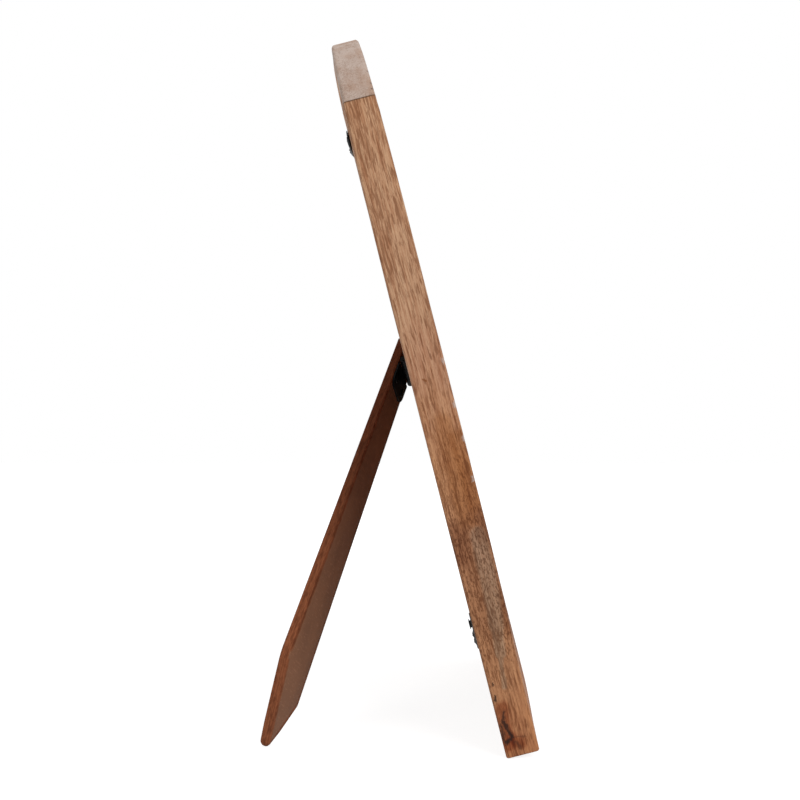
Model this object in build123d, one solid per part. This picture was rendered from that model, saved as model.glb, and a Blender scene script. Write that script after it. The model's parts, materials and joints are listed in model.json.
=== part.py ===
from build123d import *
import math
import os

# Wooden frame, in mm, upright: back plane at y = 0, front at y < 0, bottom edge at z = 0
frame_width = 190.0
stile_length = 266.0
arch_rise = 52.5
frame_depth = 15.0
stile_width = 24.0
rail_height = 47.8
edge_ease = 1.2
arch_chamfer = 0.7
lean_angle = 14.3

# Rebate and the layers in it
rebate_depth = 8.0
rebate_width = 6.0
pane_play = 0.8
glass_thickness = 2.0
print_thickness = 0.3
card_thickness = 1.5
board_thickness = 3.0

# Dowels in the four corner joints
rail_dowel_radius = 3.0
rail_dowel_reach = 14.0
arch_dowel_radius = 2.5
arch_dowel_reach = 8.0
dowel_end_gap = 0.5
rail_dowel_shares = (0.25, 0.68)
arch_dowel_shares = (0.3, 0.7)

# Easel leg: a tapered board on a hinge that is turned in the plane of the back, sawn to a round tip
leg_thickness = 4.0
leg_top_half = 11.5
leg_taper = 0.031
leg_turn = 29.0
leg_opening = 28.6
leg_tip_offset = 1.5
leg_tip_radius = 2.5
foot_near_angle = 20.0
foot_far_angle = 38.0
leg_corner_round = 20.0
leg_foot_round = 3.0
stop_gap = 0.3

# Hinge
pin_height = 165.0
pin_standoff = 2.6
pin_radius = 0.8
pin_overhang = 0.5
pin_play = 0.06
knuckle_radius = 1.7
knuckle_gap = 0.3
hinge_half = 11.0
middle_knuckle_half = 4.3
leaf_thickness = 0.9
board_leaf_length = 18.0
leg_leaf_length = 14.5
rivet_radius = 1.2
rivet_head_radius = 2.2
rivet_head_height = 0.7
rivet_spacing = 13.0
board_rivet_drop = 11.0
leg_rivet_drop = 8.5

# Turn buttons and their screws
button_inset = 12.0
dowel_to_screw = 2.0
rail_to_screw = 5.2
button_arm = 12.0
button_width = 9.0
button_thickness = 1.0
button_play = 0.3
bore_play = 0.08
rib_length = 2.6
rib_width = 5.6
rib_height = 0.8
rib_share = 0.76
screw_radius = 1.5
screw_length = 10.0
screw_head_radius = 2.7
screw_head_height = 1.4
slot_width = 0.7
slot_depth = 0.6

# Cuts run past the faces by this much
overrun = 5.0

# Derived sizes
half_width = frame_width / 2
inner_half = half_width - stile_width
pocket_half = inner_half + rebate_width
pocket_bottom = rail_height - rebate_width
pocket_top = stile_length + rebate_width
rebate_face = -rebate_depth
glass_back = rebate_face + glass_thickness
print_back = glass_back + print_thickness
card_back = print_back + card_thickness
board_back = card_back + board_thickness
pin_over_board = pin_standoff - board_back
leaf_face = knuckle_radius + knuckle_gap
button_x = half_width - button_inset
upper_button_height = stile_length - arch_dowel_reach - dowel_end_gap - dowel_to_screw - screw_radius
lower_button_height = rail_height + rail_to_screw
button_tail = button_width / 2
button_top = button_play + button_thickness
head_bottom = button_top + button_play

os.makedirs("parts", exist_ok=True)


def block(x0, x1, y0, y1, z0, z1):
    size = Box(x1 - x0, y1 - y0, z1 - z0)
    return Pos((x0 + x1) / 2, (y0 + y1) / 2, (z0 + z1) / 2) * size


def rod(axis, radius, start, end):
    turns = {"x": Rot(0, 90, 0), "y": Rot(-90, 0, 0), "z": Rot(0, 0, 0)}
    return turns[axis] * (Pos(0, 0, (start + end) / 2) * Cylinder(radius, end - start))


# The pocket that the glass, print, card and board drop into from the back
def pocket():
    return block(-pocket_half, pocket_half, rebate_face, overrun, pocket_bottom, pocket_top)


# Dowels of one side: across into the rail, and up into the arch
def rail_dowels(side, end_gap):
    joint = side * inner_half
    reach = rail_dowel_reach + end_gap
    places = [Pos(0, -frame_depth / 2, share * rail_height) for share in rail_dowel_shares]
    return [place * rod("x", rail_dowel_radius, joint - reach, joint + reach) for place in places]


def arch_dowels(side, end_gap):
    low = stile_length - arch_dowel_reach - end_gap
    high = stile_length + arch_dowel_reach + end_gap
    middle = side * (half_width - stile_width / 2)
    places = [Pos(middle, -share * frame_depth, 0) for share in arch_dowel_shares]
    return [place * rod("z", arch_dowel_radius, low, high) for place in places]


def screw_places(side):
    return [Pos(side * button_x, 0, height) for height in (upper_button_height, lower_button_height)]


# Stile: full height, eased on its two outer long edges, rebated and drilled
def stile(side):
    inner, outer = sorted((side * inner_half, side * half_width))
    body = block(inner, outer, -frame_depth, 0, 0, stile_length)
    uprights = body.edges().filter_by(Axis.Z).sort_by(lambda edge: side * edge.center().X)
    body = fillet(uprights[-2:], edge_ease)
    body -= pocket()
    for hole in rail_dowels(side, dowel_end_gap) + arch_dowels(side, dowel_end_gap):
        body -= hole
    for place in screw_places(side):
        body -= place * rod("y", screw_radius, -screw_length, overrun)
    return body


# Bottom rail: stands between the stiles
def rail():
    body = block(-inner_half, inner_half, -frame_depth, 0, 0, rail_height) - pocket()
    for side in (-1, 1):
        for hole in rail_dowels(side, dowel_end_gap):
            body -= hole
    return body


# Top piece: a segment of a circle that sits on the stile ends
def arch():
    crown = stile_length + arch_rise
    curve = ThreePointArc((-half_width, stile_length), (0, crown), (half_width, stile_length))
    chord = Line((half_width, stile_length), (-half_width, stile_length))
    body = extrude(Plane.XZ * make_face([curve, chord]), frame_depth)
    body = chamfer(body.edges().filter_by(GeomType.CIRCLE), arch_chamfer)
    body -= pocket()
    for side in (-1, 1):
        for hole in arch_dowels(side, dowel_end_gap):
            body -= hole
    return body


# A sheet that fills the pocket in width and height
def sheet(front, back):
    side = pocket_half - pane_play
    return block(-side, side, front, back, pocket_bottom + pane_play, pocket_top - pane_play)


# Hinge coordinates: x along the pin, y out from the back, z up the leg
hinge_place = Pos(0, pin_standoff, pin_height) * Rot(0, leg_turn, 0)
open_place = hinge_place * Rot(leg_opening, 0, 0)


def rivet_places(drop):
    return [Pos(side * rivet_spacing / 2, 0, -drop) for side in (-1, 1)]


def backing_board():
    board = sheet(card_back, board_back)
    hole = rod("y", rivet_radius, -pin_over_board - board_thickness - overrun, 0)
    for place in rivet_places(board_rivet_drop):
        board -= hinge_place * (place * hole)
    return board


def pin():
    return rod("x", pin_radius, -hinge_half - pin_overhang, hinge_half + pin_overhang)


# Board leaf: a flat foot, a riser and the two outer knuckles
def board_leaf():
    floor = -pin_over_board
    riser_face = -knuckle_radius + leaf_thickness
    leaf = block(-hinge_half, hinge_half, floor, floor + leaf_thickness, -board_leaf_length, riser_face)
    leaf += block(-hinge_half, hinge_half, floor, 0, -knuckle_radius, riser_face)
    leaf += rod("x", knuckle_radius, -hinge_half, hinge_half)
    slot = middle_knuckle_half + knuckle_gap
    leaf -= block(-slot, slot, -leaf_face, overrun, -overrun, overrun)
    leaf -= rod("x", pin_radius, -hinge_half - overrun, hinge_half + overrun)
    for place in rivet_places(board_rivet_drop):
        leaf -= place * rod("y", rivet_radius, floor - overrun, 0)
    return leaf


# Leg leaf: a plate on the inner face of the leg, with the middle knuckle
def leg_leaf():
    inner = leaf_face - leaf_thickness
    clear = leaf_face + knuckle_gap
    leaf = block(-hinge_half, hinge_half, inner, leaf_face, -leg_leaf_length, -clear)
    leaf += block(-middle_knuckle_half, middle_knuckle_half, inner, leaf_face, -clear, 0)
    leaf += rod("x", knuckle_radius, -middle_knuckle_half, middle_knuckle_half)
    leaf -= rod("x", pin_radius + pin_play, -hinge_half, hinge_half)
    for place in rivet_places(leg_rivet_drop):
        leaf -= place * rod("y", rivet_radius, 0, leaf_face + overrun)
    return leaf


def board_rivets():
    seat = leaf_thickness - pin_over_board
    end = -pin_over_board - board_thickness
    shank = rod("y", rivet_radius, end, seat)
    head = rod("y", rivet_head_radius, seat, seat + rivet_head_height)
    return [place * (shank + head) for place in rivet_places(board_rivet_drop)]


def leg_rivets():
    inner = leaf_face - leaf_thickness
    outer = leaf_face + leg_thickness
    shank = rod("y", rivet_radius, inner, outer)
    inner_head = rod("y", rivet_head_radius, inner - rivet_head_height, inner)
    outer_head = rod("y", rivet_head_radius, outer, outer + rivet_head_height)
    return [place * (shank + inner_head + outer_head) for place in rivet_places(leg_rivet_drop)]


# Where the table cuts the inner face of the open leg: length down the leg at an offset across it
def table_length(offset):
    turn, opening, lean = (math.radians(angle) for angle in (leg_turn, leg_opening, lean_angle))
    height = pin_height + leaf_face * math.sin(opening) * math.cos(turn) - offset * math.sin(turn)
    behind = pin_standoff + leaf_face * math.cos(opening)
    fall = math.cos(turn) * math.cos(opening) + math.sin(opening) * math.tan(lean)
    return (height - behind * math.tan(lean)) / fall


# Leg: tapered board with a heel that meets the backing board and a tip that stands on the table
def leg():
    opening = math.radians(leg_opening)
    heel = (pin_over_board + leaf_face * math.cos(opening) - stop_gap) / math.sin(opening)
    top_half = leg_top_half - leg_taper * heel
    slope = (table_length(0) - table_length(leg_top_half)) / leg_top_half
    lift = leg_tip_radius * math.hypot(1, slope)
    tip = Vector(-leg_tip_offset, lift - table_length(-leg_tip_offset))
    ends, corners = [], []
    for side, angle in ((-1, foot_near_angle), (1, foot_far_angle)):
        across, up = math.sin(math.radians(angle)), math.cos(math.radians(angle))
        sawn_end = tip + Vector(side * up, -across) * leg_tip_radius
        sawn = (leg_top_half - leg_taper * sawn_end.Y - side * sawn_end.X) / (across + leg_taper * up)
        ends.append(sawn_end)
        corners.append(sawn_end + Vector(side * across, up) * sawn)
    sides = Polyline(ends[1], corners[1], (top_half, heel), (-top_half, heel), corners[0], ends[0])
    round_end = ThreePointArc(ends[0], tip - Vector(0, leg_tip_radius), ends[1])
    face = make_face(sides.edges() + round_end.edges())
    for corner, radius in zip(corners, (leg_corner_round, leg_foot_round)):
        face = fillet(face.vertices().sort_by_distance(corner)[0], radius)
    body = Pos(0, leaf_face + leg_thickness, 0) * extrude(Plane.XZ * face, leg_thickness)
    for place in rivet_places(leg_rivet_drop):
        body -= place * rod("y", rivet_radius, 0, leaf_face + leg_thickness + overrun)
    return body


# Turn button, arm along +x from its screw: rounded plate with a pressed rib near the tip
def button():
    length = button_arm + button_tail
    plan = Pos((button_arm - button_tail) / 2, 0) * SlotOverall(length, button_width)
    plate = Pos(0, button_top, 0) * extrude(Plane.XZ * plan, button_thickness)
    rib = rib_share * button_arm
    plate += block(
        rib - rib_length / 2, rib + rib_length / 2,
        button_top, button_top + rib_height,
        -rib_width / 2, rib_width / 2,
    )
    return plate - rod("y", screw_radius + bore_play, -overrun, button_top + overrun)


def screw():
    body = rod("y", screw_radius, -screw_length, head_bottom)
    body += rod("y", screw_head_radius, head_bottom, head_bottom + screw_head_height)
    top = head_bottom + screw_head_height
    slot = block(
        -screw_head_radius - overrun, screw_head_radius + overrun,
        top - slot_depth, top + overrun,
        -slot_width / 2, slot_width / 2,
    )
    return body - slot


# Buttons at rest: all hold the board except the lower left one, which hangs down its stile
button_turns = {
    "upper_left": (-1, upper_button_height, 0),
    "upper_right": (1, upper_button_height, 180),
    "lower_left": (-1, lower_button_height, 90),
    "lower_right": (1, lower_button_height, 180),
}

pieces = {
    "left_stile": [stile(-1)],
    "right_stile": [stile(1)],
    "bottom_rail": [rail()],
    "top_arch": [arch()],
    "left_rail_dowels": rail_dowels(-1, 0),
    "right_rail_dowels": rail_dowels(1, 0),
    "left_arch_dowels": arch_dowels(-1, 0),
    "right_arch_dowels": arch_dowels(1, 0),
    "glass_pane": [sheet(rebate_face, glass_back)],
    "photo_print": [sheet(glass_back, print_back)],
    "filler_card": [sheet(print_back, card_back)],
    "backing_board": [backing_board()],
    "hinge_board_leaf": [hinge_place * board_leaf()],
    "hinge_pin": [hinge_place * pin()],
    "board_rivets": [hinge_place * rivet for rivet in board_rivets()],
    "easel_leg": [open_place * leg()],
    "hinge_leg_leaf": [open_place * leg_leaf()],
    "leg_rivets": [open_place * rivet for rivet in leg_rivets()],
}
for name, (side, height, turn) in button_turns.items():
    place = Pos(side * button_x, 0, height)
    pieces[name + "_button"] = [place * (Rot(0, turn, 0) * button())]
    pieces[name + "_screw"] = [place * screw()]

# Lean the whole object back, then stand it on the table over the middle of its footprint
lean = Rot(-lean_angle, 0, 0)
leaning = {name: [lean * solid for solid in solids] for name, solids in pieces.items()}
box = Compound([solid for solids in leaning.values() for solid in solids]).bounding_box()
centre = Pos(-(box.min.X + box.max.X) / 2, -(box.min.Y + box.max.Y) / 2, -box.min.Z)
for name, solids in leaning.items():
    placed = [centre * solid for solid in solids]
    export_step(placed[0] if len(placed) == 1 else Compound(placed), f"parts/{name}.step")

# Points and directions for the joints
stand = centre * lean
print("box", box.min, box.max)
print("hinge at", (stand * hinge_place).position, "axis", (stand * hinge_place).x_axis.direction)
print("back normal", stand.y_axis.direction, "up the frame", stand.z_axis.direction)
for name, (side, height, turn) in button_turns.items():
    print(name, (stand * Pos(side * button_x, button_play, height)).position)
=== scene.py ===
import json
import math

import bmesh
import bpy
from mathutils import Matrix, Vector, noise


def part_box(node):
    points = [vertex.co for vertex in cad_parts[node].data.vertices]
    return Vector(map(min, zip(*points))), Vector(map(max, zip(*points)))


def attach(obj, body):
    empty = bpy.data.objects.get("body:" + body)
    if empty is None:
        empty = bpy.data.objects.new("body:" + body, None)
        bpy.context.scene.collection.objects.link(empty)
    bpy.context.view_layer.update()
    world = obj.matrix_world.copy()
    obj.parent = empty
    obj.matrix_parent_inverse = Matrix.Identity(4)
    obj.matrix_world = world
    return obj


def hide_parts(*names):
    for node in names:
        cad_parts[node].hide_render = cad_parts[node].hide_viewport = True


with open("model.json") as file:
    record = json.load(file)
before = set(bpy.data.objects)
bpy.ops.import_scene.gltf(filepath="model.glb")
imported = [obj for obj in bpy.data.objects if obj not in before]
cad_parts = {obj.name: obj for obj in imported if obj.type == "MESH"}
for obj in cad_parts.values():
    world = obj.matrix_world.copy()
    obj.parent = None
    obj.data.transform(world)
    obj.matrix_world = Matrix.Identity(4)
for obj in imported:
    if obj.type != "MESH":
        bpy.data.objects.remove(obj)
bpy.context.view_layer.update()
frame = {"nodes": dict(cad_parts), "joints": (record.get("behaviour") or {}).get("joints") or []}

# The wooden frame: two stiles, a bottom rail and an arched top, doweled and glued, then sanded by hand.
# Each is modelled upright, with the bottom back edge of the frame at the origin and the front at -y,
# and leans back as one with the others.
frame_depth = 0.015
half_width = 0.095
stile_width = 0.024
stile_length = 0.266
rail_height = 0.0478
arch_rise = 0.0525
edge_ease = 0.0012
opening_ease = 0.0009
joint_ease = 0.00012
ease_run = 0.003
back_roll_start = 0.177
back_roll_depth = 0.0014
back_roll_reach = 0.013
foot_roll_top = 0.09
foot_roll_run = 0.08
foot_roll_depth = 0.00155
shoulder_start = 0.2
shoulder_roll_depth = 0.0005
arch_roll_run = 0.05
arch_roll_depth = 0.001
front_roll_reach = 0.026
face_wave = 0.00006
side_wave = 0.00005
inner_half = half_width - stile_width
arch_radius = (half_width ** 2 + arch_rise ** 2) / (2 * arch_rise)
arch_centre = stile_length + arch_rise - arch_radius

joints = {joint["name"]: joint for joint in frame["joints"]}
lean = math.asin(-joints["upper_left_turn"]["axis"][2])
back_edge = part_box("left_stile")[0].y + frame_depth * math.cos(lean)
upright = Matrix.Translation((0, back_edge, 0)) @ Matrix.Rotation(-lean, 4, "X")


def clamp(value):
    return min(max(value, 0.0), 1.0)


def smooth(value):
    value = clamp(value)
    return value * value * (3 - 2 * value)


def sanded(point):
    """Rolls the front and back over towards the outer edge, and leaves faint hand-sanding waves."""
    x, y, z = point
    if z > stile_length:
        from_edge = arch_radius - math.hypot(x, z - arch_centre)
    else:
        from_edge = min(half_width - abs(x), z)
    rising = clamp((z - back_roll_start) / (stile_length - back_roll_start))
    back_roll = back_roll_depth * rising ** 2.5 * (1 - smooth(from_edge / back_roll_reach))
    front_roll = foot_roll_depth * smooth((foot_roll_top - z) / foot_roll_run)
    front_roll += shoulder_roll_depth * clamp((z - shoulder_start) / (stile_length - shoulder_start)) ** 2
    front_roll += arch_roll_depth * clamp((z - stile_length) / arch_roll_run)
    front_roll *= 1 - smooth(from_edge / front_roll_reach)
    forward = clamp(-y / frame_depth)
    wave = face_wave * noise.noise(Vector((x * 60, y * 90, z * 45)))
    y += front_roll * forward - back_roll * (1 - forward) + wave
    x += side_wave * noise.noise(Vector((x * 30 + 7, y * 110, z * 40)))
    return Vector((x, y, z))


def quarter_turn(steps):
    return [math.pi / 2 * part / steps for part in range(steps + 1)]


def rounded_outline(corners, side_steps, corner_steps=5):
    """Points round a square-cornered outline, whose corners are given as x, y and radius."""
    turns = quarter_turn(corner_steps)
    arcs = []
    befores, afters = corners[-1:] + corners[:-1], corners[1:] + corners[:1]
    for before, (x, y, radius), after in zip(befores, corners, afters):
        spot = Vector((x, y))
        back = (Vector(before[:2]) - spot).normalized() * radius
        onward = (Vector(after[:2]) - spot).normalized() * radius
        arcs.append([spot + back * (1 - math.sin(t)) + onward * (1 - math.cos(t)) for t in turns])
    points = []
    for arc, following, steps in zip(arcs, arcs[1:] + arcs[:1], side_steps):
        points += arc + [arc[-1].lerp(following[0], step / steps) for step in range(1, steps)]
    return points


def add_object(name, data):
    made = bpy.data.objects.new(name, data)
    bpy.context.scene.collection.objects.link(made)
    return made


def skin(name, rings, sharp=35, hollow=False):
    """A piece through rings of points, closed by a face at each end, or round to the start if hollow."""
    count = len(rings[0])
    points = [point for ring in rings for point in ring]
    total = len(points)
    faces = [] if hollow else [tuple(range(count)), tuple(range(total - count, total))]
    for low in range(0, total if hollow else total - count, count):
        high = (low + count) % total
        for i in range(count):
            j = (i + 1) % count
            faces.append((low + i, low + j, high + j, high + i))
    mesh = bpy.data.meshes.new(name)
    mesh.from_pydata(points, [], faces)
    return tidy_piece(name, mesh, sharp)


def tidy_piece(name, mesh, sharp=35):
    """An object of the mesh, with doubled points merged, normals outward and only real edges sharp."""
    work = bmesh.new()
    work.from_mesh(mesh)
    bmesh.ops.remove_doubles(work, verts=work.verts, dist=1e-6)
    bmesh.ops.dissolve_degenerate(work, edges=work.edges, dist=1e-7)
    bmesh.ops.recalc_face_normals(work, faces=work.faces)
    work.to_mesh(mesh)
    work.free()
    mesh.shade_smooth()
    mesh.set_sharp_from_angle(angle=math.radians(sharp))
    return add_object(name, mesh)


def carve(piece, cutter, sharp=35):
    """Takes the cutter's shape out of the piece for good."""
    modifier = piece.modifiers.new("cut", "BOOLEAN")
    modifier.operation = "DIFFERENCE"
    modifier.solver = "EXACT"
    modifier.object = cutter
    shaped = piece.evaluated_get(bpy.context.evaluated_depsgraph_get())
    mesh = bpy.data.meshes.new_from_object(shaped)
    piece.modifiers.clear()
    piece.data = mesh
    mesh.shade_smooth()
    mesh.set_sharp_from_angle(angle=math.radians(sharp))


def cutter_box(low, high):
    """A plain box that only serves to cut."""
    x, y, z = zip(low, high)
    rings = [[Vector((x[i], y[j], z[k])) for i, j in ((0, 0), (1, 0), (1, 1), (0, 1))] for k in (0, 1)]
    return skin("cutter", rings)


def settle(piece, material, place, body, slot, *nodes):
    """Finishes a piece with its material and its place on a body, for the nodes that it stands for."""
    piece.data.materials.clear()
    piece.data.materials.append(material)
    piece.matrix_world = place
    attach(piece, body)
    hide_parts(*nodes)


# The rebate behind the opening, cut into all four pieces of wood for the glass, print and boards.
# It is 8 mm deep and 6 mm wider than the opening on every side.
lip_depth = 0.007
rebate = 0.006
pocket = cutter_box(
    (-inner_half - rebate, lip_depth - frame_depth, rail_height - rebate),
    (inner_half + rebate, frame_depth, stile_length + rebate),
)

# Stiles: straight lengths of solid hardwood, one on each side, standing the full height to the joint.
# Their long outer edges are eased, and so is the edge round the opening between the two joints.
bottom_rounding = [(0.0, 0.0007), (0.00012, 0.0004), (0.00032, 0.00017), (0.0007, 0.0)]
ring_gap = 0.002


def stile_ring(z, inset):
    within = smooth((z - rail_height) / ease_run) * smooth((stile_length - z) / ease_run)
    inner_ease = joint_ease + (opening_ease - joint_ease) * within
    outer_ease = edge_ease - inset * 0.4
    outer, front = -half_width + inset, -frame_depth + inset
    corners = [
        (outer, front, outer_ease),
        (-inner_half, front, inner_ease),
        (-inner_half, -inset, joint_ease),
        (outer, -inset, outer_ease),
    ]
    return [sanded((point.x, point.y, z)) for point in rounded_outline(corners, (14, 9, 14, 9))]


ring_count = round(stile_length / ring_gap)
heights = [(row * ring_gap, 0.0) for row in range(1, ring_count)]
stile_rings = [stile_ring(z, inset) for z, inset in bottom_rounding + heights]
stile_rings += [stile_ring(stile_length - joint_ease, 0.0), stile_ring(stile_length, joint_ease)]
stiles = {}
for side, mirror in (("left", 1), ("right", -1)):
    rings = [[Vector((mirror * p.x, p.y, p.z)) for p in ring] for ring in stile_rings]
    stiles[side] = skin(side + "_upright", rings)
    carve(stiles[side], pocket)

# The hardwood: reddish tan, open grained, with short dark vessel lines along the grain, growth bands,
# and deeper brown heartwood. It is sanded and lightly oiled, so the pores stay open.


def tree_of(*values):
    """The node tree of the first value that is a node's output."""
    return next(value.id_data for value in values if isinstance(value, bpy.types.NodeSocket))


def add_node(kind, inputs, tree=None, **settings):
    """A node with its settings; each input takes a plain value or the output of a node of the same tree."""
    tree = tree or tree_of(*inputs.values())
    made = tree.nodes.new("ShaderNode" + kind)
    for name, value in settings.items():
        setattr(made, name, value)
    for key, value in inputs.items():
        if isinstance(value, bpy.types.NodeSocket):
            tree.links.new(value, made.inputs[key])
        else:
            made.inputs[key].default_value = value
    return made


def maths(operation, *values, clamped=False):
    inputs = dict(enumerate(values))
    return add_node("Math", inputs, operation=operation, use_clamp=clamped).outputs[0]


def times(first, second):
    return maths("MULTIPLY", first, second)


def scaled(value, factor, offset):
    return maths("MULTIPLY_ADD", value, factor, offset)


def step(value, low, high):
    """0 below low and 1 above high, with a soft change between."""
    inputs = {"Value": value, "From Min": low, "From Max": high}
    return add_node("MapRange", inputs, interpolation_type="SMOOTHSTEP").outputs["Result"]


def mixed(share, first, second, blend="MIX"):
    inputs = {0: share, 6: first, 7: second}
    return add_node("Mix", inputs, data_type="RGBA", blend_type=blend).outputs[2]


def vector_node(operation, inputs):
    return add_node("VectorMath", inputs, operation=operation).outputs


def vector(operation, first, second):
    return vector_node(operation, {0: first, 1: second})["Vector"]


def object_place(tree):
    return add_node("TexCoord", {}, tree).outputs["Object"]


def noise_node(place, scale, detail, roughness):
    place = vector("MULTIPLY", place, scale)
    inputs = {"Vector": place, "Scale": 1.0, "Detail": detail, "Roughness": roughness}
    return add_node("TexNoise", inputs).outputs


def noise_value(place, scale, detail=2.0, roughness=0.5):
    """Noise from 0 to 1, with its coarseness along each axis given per metre."""
    return noise_node(place, scale, detail, roughness)[0]


def noise_push(place, scale, detail=2.0, roughness=0.5):
    """Noise as a push along each axis, from -0.5 to 0.5."""
    colour = noise_node(place, scale, detail, roughness)["Color"]
    return vector("SUBTRACT", colour, (0.5, 0.5, 0.5))


def feed(node, **values):
    """Links outputs of other nodes to the node's sockets of those names."""
    for title, value in values.items():
        tree_of(value).links.new(value, node.inputs[title.replace("_", " ")])


def new_group(name, inputs, *outputs):
    """An empty shader group with named sockets: inputs with their starting values, and outputs."""
    group = bpy.data.node_groups.new(name, "ShaderNodeTree")
    for title, value in inputs.items():
        kind = "Float" if isinstance(value, float) else {3: "Vector", 4: "Color"}[len(value)]
        socket = group.interface.new_socket(title, in_out="INPUT", socket_type="NodeSocket" + kind)
        socket.default_value = value
    for title in outputs:
        kind = "Color" if title == "Colour" else "Float"
        group.interface.new_socket(title, in_out="OUTPUT", socket_type="NodeSocket" + kind)
    return group, group.nodes.new("NodeGroupInput").outputs, group.nodes.new("NodeGroupOutput")


def place_group(group, **inputs):
    """One use of a shader group in a material, with its own values."""
    named = {title.replace("_", " "): value for title, value in inputs.items()}
    return add_node("Group", named, node_tree=group).outputs


def new_material(name, **plain):
    """A material with one Principled shader, whose plain values are set on its own sockets."""
    made = bpy.data.materials.new(name)
    made.use_nodes = True
    shader = made.node_tree.nodes["Principled BSDF"]
    for title, value in plain.items():
        shader.inputs[title.replace("_", " ")].default_value = value
    return made, made.node_tree, shader


def bump(shader, height, strength, distance):
    inputs = {"Height": height, "Strength": strength, "Distance": distance}
    feed(shader, Normal=add_node("Bump", inputs).outputs[0])


plain_look = {"Pale": (0.46, 0.26, 0.15, 1), "Deep": (0.32, 0.15, 0.075, 1), "Mottle": 0.2}
grain_group, given, result = new_group(
    "timber grain", {"Along": (0, 0, 0), **plain_look}, "Colour", "Pores", "Height"
)
shift = noise_push(given["Along"], (9, 30, 30))
grain = vector("ADD", given["Along"], vector("MULTIPLY", shift, (0, 0.006, 0.006)))


def grain_noise(along, across, detail=2.0, roughness=0.55):
    """Noise drawn out along the grain, with its coarseness along and across given per metre."""
    return noise_value(grain, (along, across, across), detail, roughness)


bands = grain_noise(4, 130, 3.0)
streaks = grain_noise(55, 1300, 3.0, 0.6)
fibres = grain_noise(90, 5200)
crowd = scaled(bands, 0.5, -0.25)
vessels = step(maths("ADD", grain_noise(130, 1300), crowd), 0.54, 0.62)
fine_vessels = step(maths("ADD", grain_noise(230, 2500), crowd), 0.54, 0.63)
specks = times(step(grain_noise(640, 1700), 0.47, 0.63), given["Mottle"])
glints = step(grain_noise(60, 1700), 0.52, 0.63)
pores = maths("MAXIMUM", vessels, times(fine_vessels, 0.7))
pores = maths("MAXIMUM", pores, specks)
tone = scaled(streaks, 0.8, times(bands, 0.4))
wood = mixed(step(tone, 0.42, 0.78), given["Pale"], given["Deep"])
wood = mixed(times(glints, 0.45), wood, given["Pale"])
pore_shade = mixed(1.0, given["Deep"], (0.52, 0.43, 0.38, 1), "MULTIPLY")
wood = mixed(times(pores, 0.7), wood, pore_shade)
relief = scaled(pores, -1.0, times(fibres, 0.35))
feed(result, Colour=wood, Pores=pores, Height=relief)


def axes(spot):
    return add_node("SeparateXYZ", {0: spot}).outputs


def along_grain(tree, axis, offset):
    """Object coordinates turned so that x runs along the grain, shifted to another spot of the wood."""
    place = vector("ADD", object_place(tree), offset)
    if axis == "x":
        return place
    parts = axes(place)
    return add_node("CombineXYZ", {0: parts["Z"], 1: parts["X"], 2: parts["Y"]}).outputs[0]


def finish_timber(shader, colour, pores, height):
    feed(shader, Base_Color=colour, Roughness=scaled(pores, 0.22, 0.52))
    bump(shader, height, 0.35, 0.0002)


# The left upright runs from tan at the top through brown heartwood to orange brown at the foot, with a
# grey mineral streak in its lower third. Dark splits near the foot are filled with resin, and there is a
# pin knot halfway up.
left_wood, tree, shader = new_material("left_upright_wood", Specular_IOR_Level=0.15)
spot = object_place(tree)
wander = noise_value(spot, (60, 160, 70), 3.0, 0.6)
drift = scaled(wander, 0.05, -0.025)
level = axes(spot)
height_share = maths("DIVIDE", maths("ADD", level["Z"], drift), stile_length)


def colour_run(share, stops):
    """A colour that changes along a length, through stops given as share and colour."""
    run = add_node("ValToRGB", {0: share})
    elements = run.color_ramp.elements
    while len(elements) < len(stops):
        elements.new(0.5)
    for element, (place, colour) in zip(elements, stops):
        element.position = place
        element.color = (*colour, 1)
    return run.outputs["Color"]


pale_run = colour_run(height_share, [
    (0.0, (0.385, 0.165, 0.07)),
    (0.11, (0.385, 0.186, 0.089)),
    (0.19, (0.315, 0.147, 0.07)),
    (0.34, (0.32, 0.148, 0.074)),
    (0.42, (0.41, 0.204, 0.1)),
    (0.52, (0.405, 0.212, 0.115)),
    (0.6, (0.4, 0.221, 0.132)),
    (0.7, (0.435, 0.264, 0.158)),
    (1.0, (0.455, 0.274, 0.16)),
])
deep_run = colour_run(height_share, [
    (0.0, (0.215, 0.075, 0.032)),
    (0.11, (0.235, 0.098, 0.044)),
    (0.19, (0.172, 0.068, 0.03)),
    (0.34, (0.162, 0.063, 0.028)),
    (0.42, (0.235, 0.096, 0.04)),
    (0.52, (0.245, 0.1, 0.045)),
    (0.6, (0.255, 0.108, 0.055)),
    (0.7, (0.285, 0.134, 0.069)),
    (1.0, (0.295, 0.136, 0.067)),
])
mottled = times(step(height_share, 0.62, 0.3), step(height_share, 0.05, 0.17))
mottle = scaled(mottled, 0.9, 0.15)
left_grain = place_group(
    grain_group, Along=along_grain(tree, "z", (0, 0, 0)), Pale=pale_run, Deep=deep_run, Mottle=mottle
)

short_line = {"Start": (0, 0, 0), "End": (0, 0, 0.01), "Width": 0.0005, "Soft": 0.0005}
mark_group, given, result = new_group("mark along a line", {"Place": (0, 0, 0), **short_line}, "Mask")
reach = vector("SUBTRACT", given["End"], given["Start"])
offset = vector("SUBTRACT", given["Place"], given["Start"])


def dot(first, second):
    return vector_node("DOT_PRODUCT", {0: first, 1: second})["Value"]


def length(run):
    return vector_node("LENGTH", {0: run})["Value"]


along = maths("DIVIDE", dot(offset, reach), dot(reach, reach), clamped=True)
nearest = vector_node("SCALE", {0: reach, "Scale": along})["Vector"]
distance = length(vector("SUBTRACT", offset, nearest))
outer = maths("ADD", given["Width"], given["Soft"])
feed(result, Mask=step(distance, outer, given["Width"]))

flat_spot = vector("MULTIPLY", spot, (0, 1, 1))
from_side = maths("ADD", level["X"], half_width)


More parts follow.
